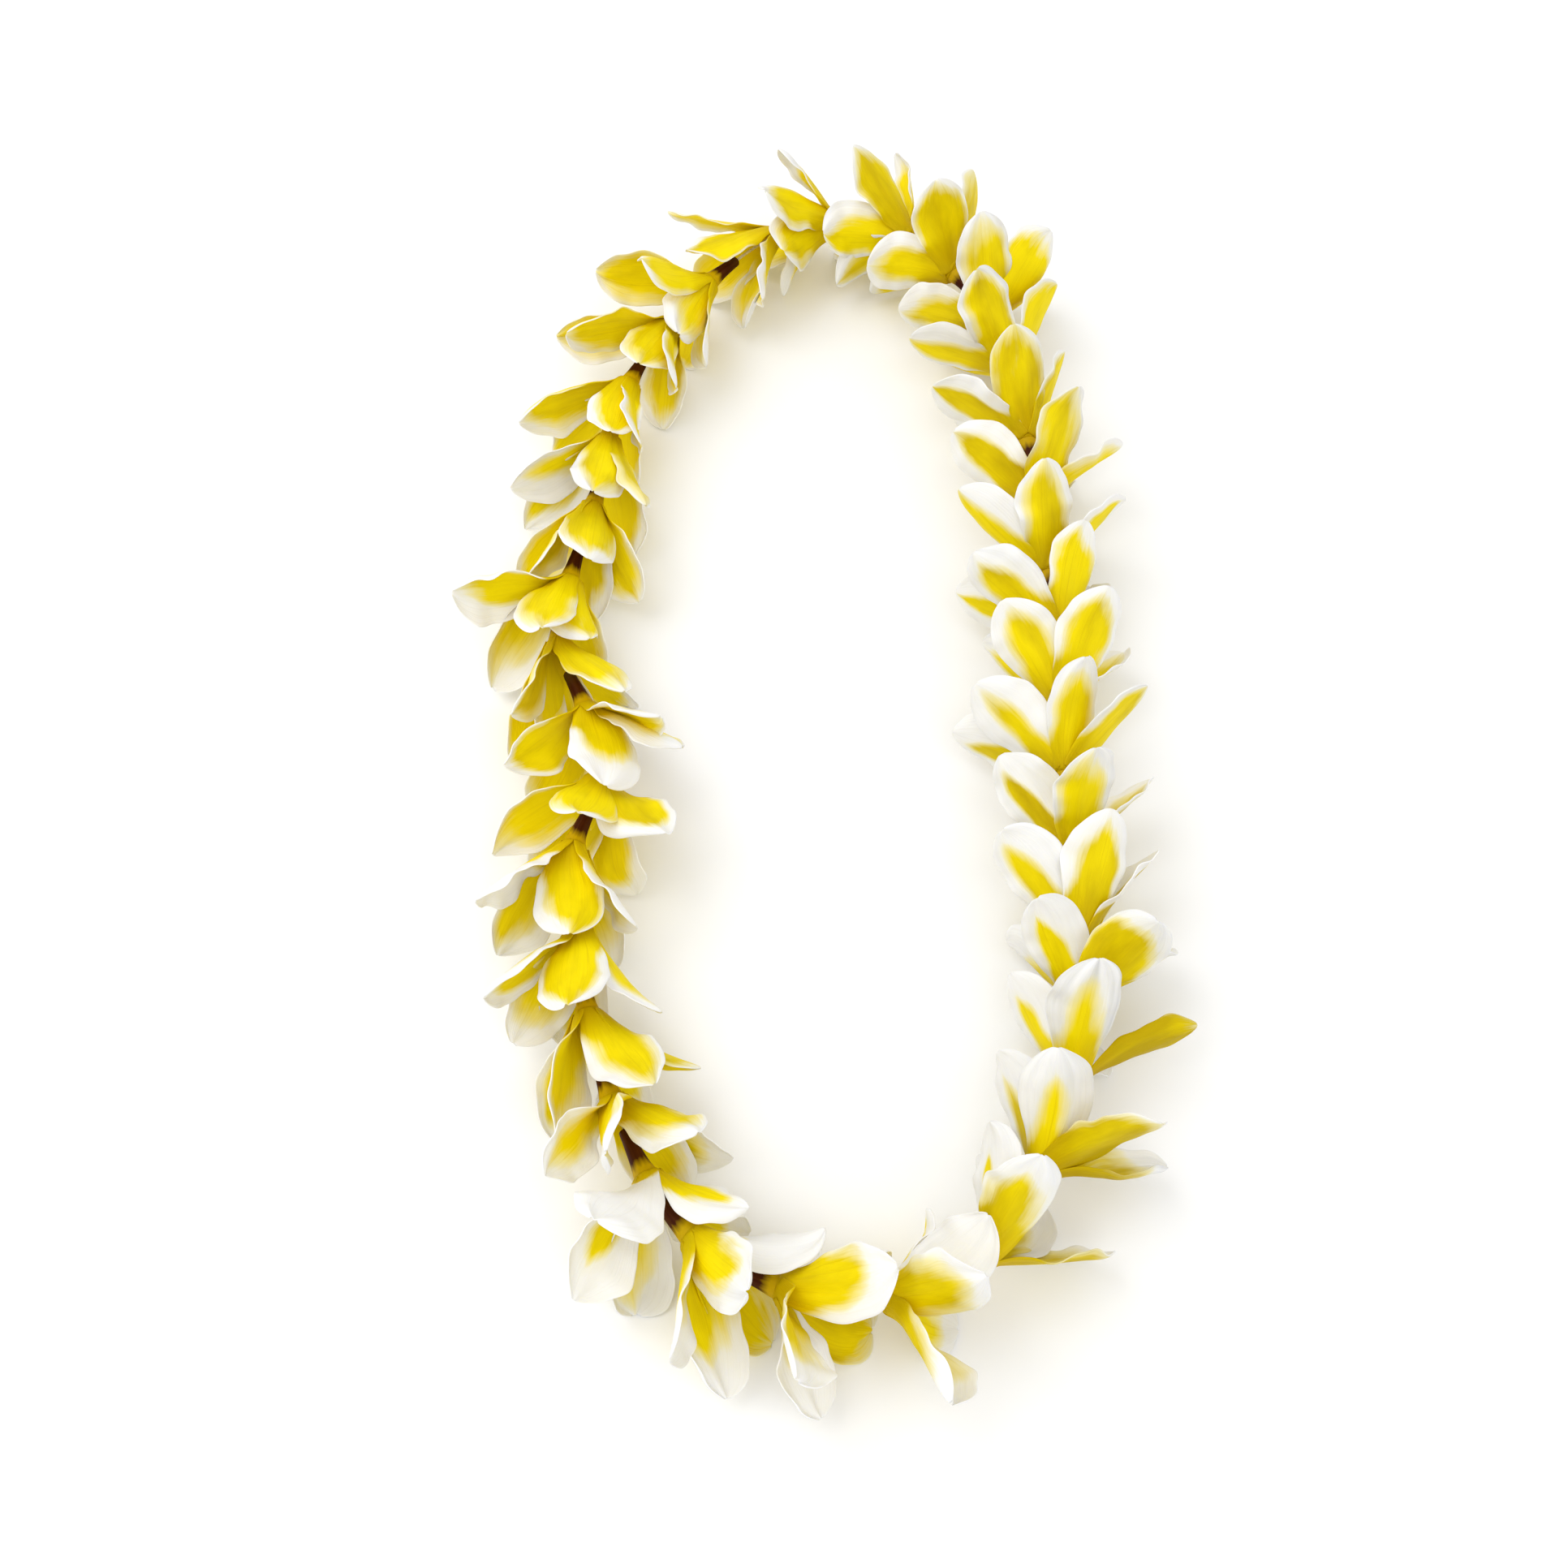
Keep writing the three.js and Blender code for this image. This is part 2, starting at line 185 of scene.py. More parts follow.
# uneven streaks that run one way, for petals, tubes, thread and floor
def makeStreakGroup():
    group = bpy.data.node_groups.new("streaks", "ShaderNodeTree")
    inputs = {"Place": "Vector", "Across": "Float", "Along": "Float", "Sharpness": "Float"}
    for name, kind in inputs.items():
        group.interface.new_socket(name, in_out="INPUT", socket_type=f"NodeSocket{kind}")
    group.interface.new_socket("Streak", in_out="OUTPUT", socket_type="NodeSocketFloat")
    start = group.nodes.new("NodeGroupInput").outputs
    end = group.nodes.new("NodeGroupOutput")
    across, along, own = splitNode(group, start["Place"])
    place = joinNode(group, mathNode(group, "MULTIPLY", across, start["Across"]),
                     mathNode(group, "MULTIPLY", along, start["Along"]), own)
    noise = group.nodes.new("ShaderNodeTexNoise")
    noise.inputs["Scale"].default_value = 1
    noise.inputs["Detail"].default_value = 3
    group.links.new(place, noise.inputs["Vector"])
    lowest = mathNode(group, "MULTIPLY_ADD", start["Sharpness"], -0.5, 0.5)
    streak = slopeNode(group, noise.outputs["Fac"], start["Sharpness"], lowest)
    group.links.new(streak, end.inputs["Streak"])
    return group


streakGroup = makeStreakGroup()


def streakNode(tree, place, across, along, sharpness):
    node = tree.nodes.new("ShaderNodeGroup")
    node.node_tree = streakGroup
    for name, value in (("Place", place), ("Across", across), ("Along", along), ("Sharpness", sharpness)):
        feed(tree, node.inputs[name], value)
    return node.outputs["Streak"]


def newMaterial(name, looks):
    material = bpy.data.materials.new(name)
    material.use_nodes = True
    shader = material.node_tree.nodes["Principled BSDF"]
    shader.inputs["Roughness"].default_value = looks["roughness"]
    shader.inputs["Specular IOR Level"].default_value = looks["specular"]
    return material, material.node_tree, shader


def addBump(tree, shader, height, strength, distance):
    bump = tree.nodes.new("ShaderNodeBump")
    bump.inputs["Strength"].default_value = strength
    bump.inputs["Distance"].default_value = distance
    tree.links.new(height, bump.inputs["Height"])
    tree.links.new(bump.outputs[0], shader.inputs["Normal"])


def mapNode(tree, name):
    node = tree.nodes.new("ShaderNodeUVMap")
    node.uv_map = name
    return splitNode(tree, node.outputs[0])[:2]


# among these, the rim colour is a painted highlight along the margins, the grey is painted shade in folds,
# the gold is partly uneven tone and partly painted shade, and the deep yellow also gives painted shade
# towards the throat
petalColours = {
    "yellow": (0.92, 0.72, 0.0), "deep": (0.58, 0.38, 0.0), "gold": (0.50, 0.36, 0.0),
    "pale": (0.90, 0.81, 0.30), "cream": (0.88, 0.82, 0.50), "white": (0.91, 0.905, 0.88),
    "rim": (0.94, 0.935, 0.93), "vein": (0.66, 0.62, 0.50), "foldShade": (0.66, 0.66, 0.65),
}

petalLooks = {
    "roughness": 0.55, "unevenRoughness": 0.14, "specular": 0.08,
    "ownStep": 57,               # how far apart the streaks of two petals are
    "streaks": {                 # how many fit across and along, and their sharpness
        "veins": (46, 1.6, 1.7), "broad": (9, 2.4, 1.4), "patch": (2.4, 1.7, 1.8),
        # folds lays painted shade in the white's folds, and the next patches spread the gold, partly uneven
        # tone and partly painted shade
        "folds": (5.5, 1.1, 3.2), "goldToneAndShade": (3.2, 1.5, 2.2),
    },
    "claw": (2.4, 0.1),          # slope and start along a petal: the yellow is as wide as the root there
    "root": (-2.4, 0.8),         # the same: the yellow that fills the root
    "throat": (-2.6, 0.8),       # the same: painted shade, the yellow darkening to deep yellow towards the throat
    "rim": (8, -7),              # slope and start towards a margin, where the painted highlight lightens the white
    "lines": (2.2, -1.25),       # slope and start on the veins
    "halo": (0.45, 0.5),         # slope and start from the yellow into the white
    "endPower": 4,               # how squarely the yellow ends at its reach
    "ragged": {"patch": 0.8, "broad": 0.5, "veins": 0.16},   # how far streaks push its edge
    "goldToneAndShadePush": 0.9,             # how far patches change the gold, which is partly uneven tone and partly painted shade
    "whiteLines": 0.22, "yellowLines": 0.45, "haloShare": 0.6, "edgeShare": 1.2,   # strength of each tint
    "subsurface": 0.16, "subsurfaceRadius": (1.0, 0.8, 0.35), "subsurfaceScale": 0.003,
    "veinHeight": 0.6, "bump": (0.35, 0.0004),   # bump is strength and distance
}


# the yellow tongue, rounded at its reach, with a ragged soft edge: how deep a place is in it, and how
# yellow it is there
def tongueNodes(tree, offset, along, reach, spread, streaks):
    looks = petalLooks
    shift, soft = mapNode(tree, "petalTouch")
    blunt = mapNode(tree, "petalShape")[0]
    middle = mathNode(tree, "MULTIPLY", shift, along)
    side = mathNode(tree, "ABSOLUTE", mathNode(tree, "SUBTRACT", offset, middle))
    clawed = mathNode(tree, "MULTIPLY", side, slopeNode(tree, along, *looks["claw"]))
    wide = mathNode(tree, "POWER", mathNode(tree, "DIVIDE", clawed, spread), blunt)
    long = mathNode(tree, "POWER", mathNode(tree, "DIVIDE", along, reach), looks["endPower"])
    inside = mathNode(tree, "SUBTRACT", 1, mathNode(tree, "ADD", wide, long))
    inside = mathNode(tree, "ADD", inside, slopeNode(tree, along, *looks["root"]))
    for name, amount in looks["ragged"].items():
        inside = mathNode(tree, "ADD", inside, pushNode(tree, streaks[name], amount))
    ramp = tree.nodes.new("ShaderNodeMapRange")
    ramp.interpolation_type = "SMOOTHSTEP"
    tree.links.new(mathNode(tree, "MULTIPLY", soft, -1), ramp.inputs["From Min"])
    tree.links.new(soft, ramp.inputs["From Max"])
    tree.links.new(inside, ramp.inputs["Value"])
    return inside, ramp.outputs[0]


def tinted(tree, colour, share, amount, name):
    return mixColour(tree, mathNode(tree, "MULTIPLY", share, amount), colour, petalColours[name])


def makePetalMaterial():
    looks, colours = petalLooks, petalColours
    material, tree, shader = newMaterial("petal", looks)
    across, along = mapNode(tree, "petalMap")
    reach, spread = mapNode(tree, "petalTint")
    # gold is partly uneven tone and partly painted shade, and grey is painted shade in folds
    gold, foldShade = mapNode(tree, "petalAge")
    offset = mathNode(tree, "MULTIPLY_ADD", across, 2, -1)
    place = joinNode(tree, across, along, mathNode(tree, "MULTIPLY", reach, looks["ownStep"]))
    streaks = {name: streakNode(tree, place, *values) for name, values in looks["streaks"].items()}
    veins, broad = streaks["veins"], streaks["broad"]
    inside, tongue = tongueNodes(tree, offset, along, reach, spread, streaks)
    lines = slopeNode(tree, veins, *looks["lines"])

    # painted highlight: the white lightens towards each margin, as if the rolled edge caught the light
    rim = slopeNode(tree, mathNode(tree, "ABSOLUTE", offset), *looks["rim"])
    white = mixColour(tree, rim, colours["white"], colours["rim"])
    white = tinted(tree, white, lines, looks["whiteLines"], "vein")
    # painted shade: grey streaks laid in the white where its folds would be in shade
    white = tinted(tree, white, streaks["folds"], foldShade, "foldShade")
    white = tinted(tree, white, slopeNode(tree, inside, *looks["halo"]), looks["haloShare"], "cream")

    # painted shade: the darker gold stands partly for shade on petals that turn from the light, and partly
    # for uneven tone
    goldToneAndShade = mathNode(tree, "ADD", gold, pushNode(tree, streaks["goldToneAndShade"], looks["goldToneAndShadePush"]), clamp=True)
    yellow = mixColour(tree, goldToneAndShade, colours["yellow"], colours["gold"])
    # painted shade: the yellow darkens to deep yellow towards the throat
    yellow = mixColour(tree, slopeNode(tree, along, *looks["throat"]), yellow, colours["deep"])
    yellow = tinted(tree, yellow, lines, looks["yellowLines"], "deep")

    # the pale band where yellow and white meet
    edge = mathNode(tree, "MULTIPLY", mathNode(tree, "SUBTRACT", 1, tongue), tongue)
    colour = mixColour(tree, tongue, white, yellow)
    colour = tinted(tree, colour, edge, looks["edgeShare"], "pale")
    tree.links.new(colour, shader.inputs["Base Color"])
    roughness = mathNode(tree, "ADD", pushNode(tree, broad, looks["unevenRoughness"]), looks["roughness"])
    tree.links.new(roughness, shader.inputs["Roughness"])
    shader.inputs["Subsurface Weight"].default_value = looks["subsurface"]
    shader.inputs["Subsurface Radius"].default_value = looks["subsurfaceRadius"]
    shader.inputs["Subsurface Scale"].default_value = looks["subsurfaceScale"]
    height = mathNode(tree, "ADD", mathNode(tree, "MULTIPLY", veins, looks["veinHeight"]), broad)
    addBump(tree, shader, height, *looks["bump"])
    return material


tubeLooks = {
    "maroon": (0.038, 0.002, 0.001), "brown": (0.085, 0.022, 0.002), "green": (0.075, 0.05, 0.005),
    "roughness": 0.55, "specular": 0.1,
    "ownStep": 31, "streaks": (12, 1.5, 2.2),
    "greenEnd": (-2.4, 0.9),         # slope and start along a tube
    "throatEnd": (6, -3.9), "throatRagged": 0.12,
    "bump": (0.3, 0.0003),
}


def makeTubeMaterial():
    looks = tubeLooks
    material, tree, shader = newMaterial("tube", looks)
    across, along = mapNode(tree, "petalMap")
    tint, green = mapNode(tree, "petalTint")
    place = joinNode(tree, across, along, mathNode(tree, "MULTIPLY", tint, looks["ownStep"]))
    streak = streakNode(tree, place, *looks["streaks"])
    skin = mixColour(tree, streak, looks["maroon"], looks["brown"])
    end = mathNode(tree, "MULTIPLY", slopeNode(tree, along, *looks["greenEnd"]), green)
    skin = mixColour(tree, end, skin, looks["green"])
    # the throat's end of the tube is yellow, like the roots of the petals
    edge = mathNode(tree, "MULTIPLY_ADD", streak, looks["throatRagged"], along)
    skin = mixColour(tree, slopeNode(tree, edge, *looks["throatEnd"]), skin, petalColours["deep"])
    tree.links.new(skin, shader.inputs["Base Color"])
    addBump(tree, shader, streak, *looks["bump"])
    return material


# a material with one kind of streak between two colours
def makeStreakedMaterial(name, looks):
    material, tree, shader = newMaterial(name, looks)
    point = tree.nodes.new("ShaderNodeTexCoord")
    streak = streakNode(tree, point.outputs["Object"], *looks["streaks"])
    tree.links.new(mixColour(tree, streak, looks["dark"], looks["light"]), shader.inputs["Base Color"])
    if "bump" in looks:
        addBump(tree, shader, streak, *looks["bump"])
    return material


threadLooks = {
    "dark": (0.55, 0.50, 0.38), "light": (0.82, 0.78, 0.68), "roughness": 0.9, "specular": 0.2,
    "streaks": (1800, 1800, 1.8), "bump": (0.4, 0.0002),
}

petalMaterial = makePetalMaterial()
tubeMaterial = makeTubeMaterial()
threadMaterial = makeStreakedMaterial("cotton", threadLooks)
print("materials are mixed")


# the loop as a curve that the blooms are threaded on

# a Catmull-Rom curve through the points of the route
def smoothLoop():
    route, centre = loop["route"], loop["centre"]
    points = []
    for i in range(len(route)):
        a, b, c, d = (route[(i + k) % len(route)] for k in (-1, 0, 1, 2))
        for step in range(loop["steps"]):
            t = step / loop["steps"]
            flat = [0.5 * (2 * b[k] + (c[k] - a[k]) * t
                           + (2 * a[k] - 5 * b[k] + 4 * c[k] - d[k]) * t * t
                           + (3 * b[k] - a[k] - 3 * c[k] + d[k]) * t * t * t) for k in (0, 1)]
            points.append(Vector((flat[0] - centre[0], flat[1] - centre[1], loop["height"])) * mm)
    return points


def makePath(name, points, closed):
    data = bpy.data.curves.new(name, "CURVE")
    data.dimensions = "3D"
    spline = data.splines.new("POLY")
    spline.points.add(len(points) - 1)
    for place, point in zip(spline.points, points):
        place.co = (*point, 1)
    spline.use_cyclic_u = closed
    return addObject(name, data)


loopPoints = smoothLoop()
loopLength = sum((b - a).length for a, b in zip(loopPoints, loopPoints[1:] + loopPoints[:1]))
stringPath = makePath("string_path", loopPoints, True)


# geometry nodes

def newTree(name, inputs):
    tree = bpy.data.node_groups.new(name, "GeometryNodeTree")
    tree.interface.new_socket("Geometry", in_out="INPUT", socket_type="NodeSocketGeometry")
    for label, kind in inputs:
        tree.interface.new_socket(label, in_out="INPUT", socket_type=f"NodeSocket{kind}")
    tree.interface.new_socket("Geometry", in_out="OUTPUT", socket_type="NodeSocketGeometry")
    return tree, tree.nodes.new("NodeGroupInput").outputs, tree.nodes.new("NodeGroupOutput").inputs[0]


# bends a bloom that was made straight (x out of the loop, y along, z up) round the string
def makeBendTree():
    tree, start, end = newTree("threaded_on_string", (
        ("String", "Object"), ("Throat", "Float"), ("Loop length", "Float"),
        ("Lowest", "Float"), ("Softness", "Float")))
    link = tree.links.new
    string = tree.nodes.new("GeometryNodeObjectInfo")
    link(start["String"], string.inputs["Object"])
    out, forward, high = splitNode(tree, tree.nodes.new("GeometryNodeInputPosition").outputs[0])
    distance = mathNode(tree, "FLOORED_MODULO", mathNode(tree, "ADD", forward, start["Throat"]),
                        start["Loop length"])
    sample = tree.nodes.new("GeometryNodeSampleCurve")
    sample.mode = "LENGTH"
    sample.use_all_curves = True
    link(string.outputs["Geometry"], sample.inputs["Curves"])
    link(distance, sample.inputs["Length"])
    across = vectorNode(tree, "CROSS_PRODUCT", sample.outputs["Tangent"], (0, 0, 1))
    aside = scaledVector(tree, vectorNode(tree, "NORMALIZE", across), out)
    there = vectorNode(tree, "ADD", vectorNode(tree, "ADD", sample.outputs["Position"], aside),
                       joinNode(tree, 0, 0, high))
    # low petals bend to lie along the surface
    x, y, z = splitNode(tree, there)
    drop = mathNode(tree, "DIVIDE", mathNode(tree, "SUBTRACT", z, start["Lowest"]), start["Softness"])
    eased = mathNode(tree, "LOGARITHM", mathNode(tree, "ADD", mathNode(tree, "EXPONENT", drop), 1), math.e)
    height = mathNode(tree, "MULTIPLY_ADD", eased, start["Softness"], start["Lowest"])
    move = tree.nodes.new("GeometryNodeSetPosition")
    link(start["Geometry"], move.inputs["Geometry"])
    link(joinNode(tree, x, y, height), move.inputs["Position"])
    real = tree.nodes.new("GeometryNodeRealizeInstances")
    link(move.outputs[0], real.inputs[0])
    link(real.outputs[0], end)
    return tree


# plies that wind round a path
def makeThreadTree():
    tree, start, end = newTree("twisted_thread", (
        ("Path", "Object"), ("Plies", "Int"), ("Turns", "Float"), ("Points", "Int"), ("Sides", "Int"),
        ("Ply radius", "Float"), ("Lay radius", "Float"), ("Material", "Material")))
    link = tree.links.new
    path = tree.nodes.new("GeometryNodeObjectInfo")
    link(start["Path"], path.inputs["Object"])
    even = tree.nodes.new("GeometryNodeResampleCurve")
    link(path.outputs["Geometry"], even.inputs["Curve"])
    link(start["Points"], even.inputs["Count"])
    copies = tree.nodes.new("GeometryNodeDuplicateElements")
    copies.domain = "SPLINE"
    link(even.outputs[0], copies.inputs["Geometry"])
    link(start["Plies"], copies.inputs["Amount"])
    number = tree.nodes.new("GeometryNodeCaptureAttribute")
    number.domain = "CURVE"
    number.capture_items.new("INT", "Ply")
    link(copies.outputs["Geometry"], number.inputs[0])
    link(copies.outputs["Duplicate Index"], number.inputs[1])
    ply = mathNode(tree, "DIVIDE", number.outputs[1], start["Plies"])
    along = tree.nodes.new("GeometryNodeSplineParameter").outputs["Factor"]
    turn = mathNode(tree, "MULTIPLY", mathNode(tree, "MULTIPLY_ADD", along, start["Turns"], ply), fullTurn)
    tangent = tree.nodes.new("GeometryNodeInputTangent").outputs[0]
    normal = tree.nodes.new("GeometryNodeInputNormal").outputs[0]
    other = vectorNode(tree, "CROSS_PRODUCT", tangent, normal)
    offset = vectorNode(tree, "ADD", scaledVector(tree, normal, mathNode(tree, "COSINE", turn)),
                        scaledVector(tree, other, mathNode(tree, "SINE", turn)))
    move = tree.nodes.new("GeometryNodeSetPosition")
    link(number.outputs[0], move.inputs["Geometry"])
    link(scaledVector(tree, offset, start["Lay radius"]), move.inputs["Offset"])
    section = tree.nodes.new("GeometryNodeCurvePrimitiveCircle")
    link(start["Sides"], section.inputs["Resolution"])
    link(start["Ply radius"], section.inputs["Radius"])
    skin = tree.nodes.new("GeometryNodeCurveToMesh")
    skin.inputs["Fill Caps"].default_value = True
    link(move.outputs[0], skin.inputs["Curve"])
    link(section.outputs[0], skin.inputs["Profile Curve"])
    real = tree.nodes.new("GeometryNodeRealizeInstances")
    paint = tree.nodes.new("GeometryNodeSetMaterial")
    link(skin.outputs[0], real.inputs[0])
    link(real.outputs[0], paint.inputs["Geometry"])
    link(start["Material"], paint.inputs["Material"])
    link(paint.outputs[0], end)
    return tree


bendTree = makeBendTree()
threadTree = makeThreadTree()
print("node trees are built")


def setInputs(modifier, values):
    sockets = {s.name: s.identifier for s in modifier.node_group.interface.items_tree
               if s.in_out == "INPUT"}
    for name, value in values.items():
        modifier[sockets[name]] = value


# chance: each use has a number of its own, so that a change to one leaves the others as they are

draws = {
    "ripple": 0, "length": 1, "recurve": 2, "width": 3, "cup": 4, "twist": 5, "curl": 6,
    "firstRoll": 7, "secondRoll": 8, "phase": 9, "sides": 10, "lean": 11,
    "reach": 20, "spread": 21, "shift": 22, "soft": 23, "tubeTint": 24, "tubeGreen": 25,
    "point": 30, "wave": 31, "pleat": 32, "frill": 33, "gold": 40, "foldShade": 41, "blunt": 42,
}
chanceWeights = {"bloom": 12.9898, "petal": 78.233, "use": 37.719, "scale": 43758.5453}


# a number from -1 to 1 for a petal, given as (bloom, petal)
def vary(petal, use):
    weights = chanceWeights
    mixed = petal[0] * weights["bloom"] + petal[1] * weights["petal"] + draws[use] * weights["use"]
    wave = math.sin(mixed) * weights["scale"]
    return 2 * (wave - math.floor(wave)) - 1


def petalChance(petal):
    return {use: vary(petal, use) for use in draws}


# petals and tubes, straight, in millimetres: x out of the loop, y along the string, z up

# blooms along the string: the gap to the next throat in millimetres, then for each petal its turn round
# the string, opening and roll in degrees, and its length and width against the usual
usualPetal = (-24, 1, 1)     # pinwheel roll, length and width where a petal's row leaves them out
bloomTable = [
    (31, [(90, 56), (-28, 50, 6), (-85, 36), (-140, 34), (172, 22)]),
    (32, [(100, 51), (46, 66), (-14, 62), (-120, 40), (170, 27)]),
    (24.5, [(89, 55), (-2, 56, 12), (-80, 50), (-128, 34), (176, 31)]),
    (23.5, [(118, 50), (66, 72, 16), (-18, 50), (-78, 34), (-135, 38)]),
    (29.5, [(140, 42), (72, 33, -6), (2, 38), (-66, 32), (-135, 34)]),
    (30.5, [(85, 60), (145, 40), (0, 40), (-72, 32), (-140, 34)]),
    (28, [(80, 37), (152, 54), (-168, 60), (32, 48), (-75, 32)]),
    (29.5, [(130, 45), (62, 42, -6), (-30, 38), (-94, 50), (-160, 36)]),
    (25, [(54, 27, 0), (146, 58), (-168, 52), (-40, 36), (-100, 32)]),
    (31.5, [(92, 44), (152, 52, 2), (16, 46), (-52, 34), (-120, 34)]),
    (29, [(64, 46), (152, 50), (0, 53), (-66, 34), (-130, 34)]),
    (35, [(98, 50), (22, 27), (160, 58, 4), (-140, 38), (-62, 33)]),
    (24.5, [(108, 58), (16, 40, 4), (168, 58, 6), (-72, 50), (-130, 36)]),
    (30, [(84, 58, 8), (34, 68, 22), (-170, 37), (-26, 58), (-100, 34)]),
    (24.5, [(92, 66, 25), (18, 61, 8), (163, 36), (-60, 34), (-130, 32)]),
    (32, [(74, 48, 20, 0.96), (10, 66, -16, 1, 0.6), (150, 22, -10, 1.08), (-75, 34), (-152, 33)]),
    (26, [(90, 36, 6, 1.08), (50, 60, -10, 0.86, 0.6), (150, 25), (-125, 30), (-60, 40)]),
    (36, [(11, 51, 26, 1, 0.6), (50, 16, 26), (172, 34, 10), (-135, 28, 0), (-60, 42)]),
    (27, [(69, 45, 40), (4, 57), (128, 14, 0), (-170, 24, 10), (-95, 50)]),
    (33.5, [(32, 39, -18), (-6, 56), (115, 19, 0), (165, 26, 14), (-116, 38, 14, 1.06)]),
    (28, [(-4, 58, -4), (-50, 60), (104, 12, 0, 0.95), (150, 17, 14), (-110, 32)]),
    (32, [(96, 18, 0), (-8, 46, -20), (-38, 44, -24, 1.08), (156, 28, -2, 1, 0.8),
          (-130, 28, 10, 1.06)]),
    (33.5, [(120, 24, 0), (22, 14, -8), (-36, 38), (-152, 38, 18), (-103, 27, 6, 1.02, 0.75)]),
    (27, [(77, 28, 18), (14, 64, -22, 1.04), (-36, 46), (136, 17, -20), (-118, 30, 10)]),
    (29, [(21, 37), (126, 23, -6), (-33, 47, -28, 1.12), (-62, 34, -20, 1.04), (-120, 58)]),
    (28, [(112, 18, 0, 1, 1.1), (160, 48, -20), (130, 53, 6), (10, 46, -44), (-48, 48)]),
    (26.5, [(100, 39, 0), (148, 54, -58, 1, 1.14), (-131, 36, 10, 1.08), (-72, 34), (-14, 41, -22)]),
    (31, [(86, 12, 0, 1, 1.1), (28, 55, -8), (-22, 45, -26), (169, 22, 4), (-106, 26, 10, 1.06)]),
    (28.5, [(80, 27, 8, 1, 1.1), (26, 52, -12), (-28, 42, -26), (168, 26, -8), (-75, 36, -10)]),
    (29.5, [(124, 24, -30, 1, 1.05), (16, 24, -42, 1.05), (-170, 42, -20, 1.04), (-48, 44),
            (-104, 50)]),
    (26.5, [(128, 40, -22), (72, 50, -50), (24, 56, -40, 0.85), (-158, 36, 4, 1.05), (-118, 26, 10)]),
    (22.5, [(55, 74, 66, 0.95, 1.1), (-8, 70, -34, 0.95), (-48, 58, -24, 1.04),
            (150, 24, -30, 0.95, 0.8), (-130, 32)]),
    (30, [(66, 49, -6), (28, 66, -14), (-24, 52, -30, 1.02), (-74, 40, -10), (162, 16, -36, 1.12)]),
    (30, [(90, 32, -16), (44, 76, -36), (-30, 64, -30, 0.84), (-84, 46, -12), (-147, 20)]),
    (31.8, [(70, 58, -20), (28, 80, -16), (102, 24, -10), (-70, 58, -30, 0.92), (-150, 34)]),
]

# blooms by their place in the loop
rightBlooms = range(1, 17)                        # the right strand and the first half of the top
leftBlooms = range(18, 36)                        # the other half, the left strand and the bottom
pointedBlooms = [*range(1, 5), *range(31, 36)]    # those at the bottom, whose yellow ends in a point

petalForm = {
    "length": 40, "width": 22, "thickness": 0.5,
    "rootRadius": 3.6, "rootSink": 3, "rootAngle": 28,
    "rootBend": 0.2,         # share of the length where the root turns to the petal's opening
    "recurve": 20,           # degrees that a blade bends outwards from end to end
    "outline": [(0, 0.42), (0.12, 0.5), (0.25, 0.68), (0.38, 0.86), (0.5, 0.97), (0.6, 1.0),
                (0.7, 0.98), (0.79, 0.89), (0.87, 0.72), (0.93, 0.53), (0.975, 0.31), (1, 0.1)],
    "rows": 20, "columns": 11, "spineSteps": 60,
    "rowShift": 0.07,        # how far the middle rows are moved towards the tip
    "columnArc": 0.86,       # share of a half turn that spaces the columns, closer at the margins
    "cup": 0.24,             # rise of a margin against the half width
    "cupLevel": 0.3,         # square of the place across a blade that the cup leaves level
    "growth": 2.5, "twistGrowth": 2,   # how fast cup and roll, and the twist, grow from the root
    "wrap": 5,               # radius that the root is wrapped round
    "wrapEnd": 0.35,         # share of the length where that ends
    "rollStart": 0.5,        # share of the half width where a margin starts to roll
    "narrowest": 0.1, "flattest": 0.02,   # half width and angle below which it doesn't
    "roll": 34,              # degrees that a margin rolls towards the bloom's face, more or less
    "flatRoll": 18,          # the same on the right strand
    "rollRange": (0.7, 0.8),    # usual share of that roll, and how far chance changes it
    "foldedRoll": 95,        # the same for the few margins that fold over
    "foldedFrom": 0.72,      # chance above which one does
    "margins": {             # (bloom, petal): rolls of the two margins of single petals
        (2, 1): (70, 90), (3, 1): (120, 120), (10, 0): (10, 20), (11, 0): (4, 4), (12, 0): (4, 4),
        (13, 0): (6, 6), (14, 0): (6, 10), (15, 0): (8, 8), (23, 0): (10, 10), (24, 0): (8, 30),
        (26, 0): (12, 12), (28, 0): (12, 12), (29, 0): (12, 12), (30, 0): (10, 10),
    },
    "broad": [(1, 1.0), (3, 1.05), (16, 1.05), (18, 1.0), (35, 1.0)],    # by bloom: width against the usual
    "swell": {(3, 0): 1.08, (3, 1): 0.72, (4, 0): 0.95, (11, 0): 1.3, (12, 0): 1.06},   # of single petals
    "trim": {(15, 0): 0.985, (16, 1): 0.99},      # length of single petals against the usual
    "point": [(1, 0.25), (3, 0.08), (16, 0.12), (18, 0.3), (35, 0.3)],   # by bloom: width lost at a tip
    "pointRange": (0.5, 0.8),   # usual share of that loss, and how far chance changes it
    "pointShare": 0.5,       # share of the length that narrows so
    "tipCurl": 30,           # degrees that a tip may curl either way
    "curlShare": 0.2,        # share of the length that curls
    "sweep": 2.4,            # how far a tip may lean to one side
    "uneven": {              # how far chance changes the rest
        "length": 0.05, "width": 0.05, "sides": 0.07, "cup": 0.4, "recurve": 9, "twist": 5,
    },
}

